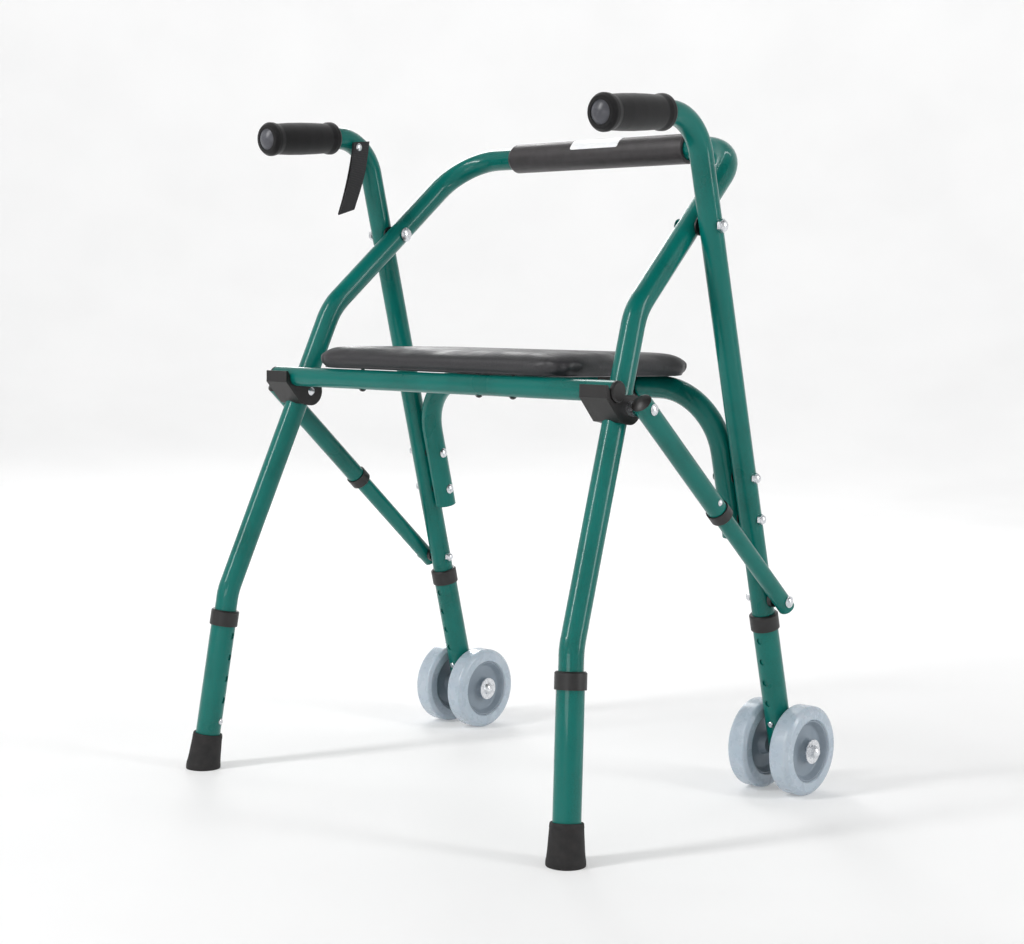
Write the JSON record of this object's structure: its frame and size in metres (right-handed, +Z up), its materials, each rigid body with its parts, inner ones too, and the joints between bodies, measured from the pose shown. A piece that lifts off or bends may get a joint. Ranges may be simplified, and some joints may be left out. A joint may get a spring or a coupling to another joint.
{
  "type": "walking frame",
  "caption": "Folding walking frame: painted tube A-frame with foam handles, padded flip-up seat on a U tube, telescopic side struts, height-adjustable legs, rubber rear feet and front wheels.",
  "frame": {"origin": "on the floor, under the middle of the frame's overall box", "axes": "+X to the user's right, +Y forwards from the user to the wheels, +Z up"},
  "size_m": [0.604, 0.4811, 0.7625],
  "materials": {
    "green_paint": "deep green gloss enamel with a metallic depth",
    "bright_zinc": "bright zinc plate",
    "black_plastic": "satin moulded black",
    "plug_grey": "satin grey",
    "grip_foam": "matte closed-cell foam",
    "sleeve": "satin charcoal sleeve",
    "seat_cover": "fine-grained black leathercloth",
    "board": "bare plywood under the seat",
    "webbing": "woven webbing",
    "wheel_tread": "glossy grey-blue solid tyre",
    "wheel_hub": "satin dark grey",
    "tip_rubber": "matte black rubber"
  },
  "bodies": {
    "wheel_frame": {"handle_tube_left": "green_paint", "handle_tube_right": "green_paint", "seat_support_tube": "green_paint", "grip_left": "grip_foam", "grip_right": "grip_foam", "grip_plugs": "plug_grey", "seat_tube_bolts": "bright_zinc", "seat_tube_spacers": "black_plastic", "pivot_spacers": "black_plastic", "pivot_bolts": "bright_zinc", "strut_pivot_bolts": "bright_zinc", "hand_strap": "webbing", "strap_rivet": "bright_zinc"},
    "foot_frame": {"foot_frame": "green_paint", "crossbar_sleeve": "sleeve", "bracket_left": "black_plastic", "bracket_right": "black_plastic", "strut_top_rivets": "bright_zinc"},
    "seat": {"seat_cushion": "seat_cover", "seat_board": "board", "seat_bar": "green_paint", "seat_bar_plugs": "black_plastic", "seat_screws": "bright_zinc", "seat_clips": "black_plastic"},
    "strut_upper_right": {"strut_upper_tube_right": "green_paint", "strut_plug_right": "black_plastic", "strut_collar_right": "black_plastic", "strut_stop_right": "bright_zinc"},
    "strut_lower_right": {"strut_lower_tube_right": "green_paint", "strut_head_right": "bright_zinc"},
    "foot_leg_right": {"foot_leg_tube_right": "green_paint", "foot_leg_collar_right": "black_plastic", "foot_tip_right": "tip_rubber"},
    "wheel_leg_right": {"wheel_leg_tube_right": "green_paint", "wheel_leg_collar_right": "black_plastic", "wheel_axle_right": "bright_zinc"},
    "wheel_right_outer": {"tyre_right_outer": "wheel_tread", "hub_right_outer": "wheel_hub"},
    "wheel_right_inner": {"tyre_right_inner": "wheel_tread", "hub_right_inner": "wheel_hub"},
    "snap_foot_right": {"snap_clip_foot_right": "bright_zinc"},
    "snap_wheel_right": {"snap_clip_wheel_right": "bright_zinc"},
    "strut_upper_left": {"strut_upper_tube_left": "green_paint", "strut_plug_left": "black_plastic", "strut_collar_left": "black_plastic", "strut_stop_left": "bright_zinc"},
    "strut_lower_left": {"strut_lower_tube_left": "green_paint", "strut_head_left": "bright_zinc"},
    "foot_leg_left": {"foot_leg_tube_left": "green_paint", "foot_leg_collar_left": "black_plastic", "foot_tip_left": "tip_rubber"},
    "wheel_leg_left": {"wheel_leg_tube_left": "green_paint", "wheel_leg_collar_left": "black_plastic", "wheel_axle_left": "bright_zinc"},
    "wheel_left_outer": {"tyre_left_outer": "wheel_tread", "hub_left_outer": "wheel_hub"},
    "wheel_left_inner": {"tyre_left_inner": "wheel_tread", "hub_left_inner": "wheel_hub"},
    "snap_foot_left": {"snap_clip_foot_left": "bright_zinc"},
    "snap_wheel_left": {"snap_clip_wheel_left": "bright_zinc"}
  },
  "joints": [
    {"name": "fold", "type": "hinge", "parent": "wheel_frame", "child": "foot_frame", "pos_m": [0, 0.02954, 0.632], "axis": [1, 0, 0], "range_deg": [0, 30]},
    {"name": "seat_flip", "type": "hinge", "parent": "wheel_frame", "child": "seat", "pos_m": [0, 0.07746, 0.458], "axis": [-1, 0, 0], "range_deg": [0, 67]},
    {"name": "strut_swing_right", "type": "hinge", "parent": "foot_frame", "child": "strut_upper_right", "pos_m": [0.2785, -0.1084, 0.442], "axis": [1, 0, 0], "range_deg": [-41, 0]},
    {"name": "strut_slide_right", "type": "slide", "parent": "strut_upper_right", "child": "strut_lower_right", "axis": [0, 0.7552, -0.6555], "range_m": [-0.1105, 0]},
    {"name": "foot_leg_height_right", "type": "slide", "parent": "foot_frame", "child": "foot_leg_right", "axis": [0.0806, -0.1043, -0.9913], "range_m": [0, 0.1016]},
    {"name": "wheel_leg_height_right", "type": "slide", "parent": "wheel_frame", "child": "wheel_leg_right", "axis": [0, 0.2655, -0.9641], "range_m": [0, 0.1016]},
    {"name": "wheel_spin_right_outer", "type": "hinge", "parent": "wheel_leg_right", "child": "wheel_right_outer", "pos_m": [0.279, 0.1896, 0.0508], "axis": [1, 0, 0], "continuous": true},
    {"name": "wheel_spin_right_inner", "type": "hinge", "parent": "wheel_leg_right", "child": "wheel_right_inner", "pos_m": [0.223, 0.1896, 0.0508], "axis": [1, 0, 0], "continuous": true},
    {"name": "button_foot_right", "type": "slide", "parent": "foot_frame", "child": "snap_foot_right", "axis": [0.9366, -0.3322, 0.1112], "range_m": [0, 0.004], "stiffness_N_per_m": 500, "deforming": ["snap_clip_foot_right"]},
    {"name": "button_wheel_right", "type": "slide", "parent": "wheel_frame", "child": "snap_wheel_right", "axis": [0, 0.9641, 0.2655], "range_m": [0, 0.004], "stiffness_N_per_m": 500, "deforming": ["snap_clip_wheel_right"]},
    {"name": "strut_swing_left", "type": "hinge", "parent": "foot_frame", "child": "strut_upper_left", "pos_m": [-0.2785, -0.1084, 0.442], "axis": [1, 0, 0], "range_deg": [-41, 0]},
    {"name": "strut_slide_left", "type": "slide", "parent": "strut_upper_left", "child": "strut_lower_left", "axis": [0, 0.7552, -0.6555], "range_m": [-0.1105, 0]},
    {"name": "foot_leg_height_left", "type": "slide", "parent": "foot_frame", "child": "foot_leg_left", "axis": [-0.0806, -0.1043, -0.9913], "range_m": [0, 0.1016]},
    {"name": "wheel_leg_height_left", "type": "slide", "parent": "wheel_frame", "child": "wheel_leg_left", "axis": [0, 0.2655, -0.9641], "range_m": [0, 0.1016]},
    {"name": "wheel_spin_left_outer", "type": "hinge", "parent": "wheel_leg_left", "child": "wheel_left_outer", "pos_m": [-0.279, 0.1896, 0.0508], "axis": [1, 0, 0], "continuous": true},
    {"name": "wheel_spin_left_inner", "type": "hinge", "parent": "wheel_leg_left", "child": "wheel_left_inner", "pos_m": [-0.223, 0.1896, 0.0508], "axis": [1, 0, 0], "continuous": true},
    {"name": "button_foot_left", "type": "slide", "parent": "foot_frame", "child": "snap_foot_left", "axis": [-0.9366, -0.3322, 0.1112], "range_m": [0, 0.004], "stiffness_N_per_m": 500, "deforming": ["snap_clip_foot_left"]},
    {"name": "button_wheel_left", "type": "slide", "parent": "wheel_frame", "child": "snap_wheel_left", "axis": [0, 0.9641, 0.2655], "range_m": [0, 0.004], "stiffness_N_per_m": 500, "deforming": ["snap_clip_wheel_left"]}
  ],
  "couplings": [
    {"joint": "seat_flip", "follows": "fold", "ratio": 2.2333},
    {"joint": "strut_swing_right", "follows": "fold", "ratio": -1.3613},
    {"joint": "strut_slide_right", "follows": "fold", "m_per_rad": -0.21064},
    {"joint": "strut_swing_left", "follows": "fold", "ratio": -1.3613},
    {"joint": "strut_slide_left", "follows": "fold", "m_per_rad": -0.21064}
  ]
}
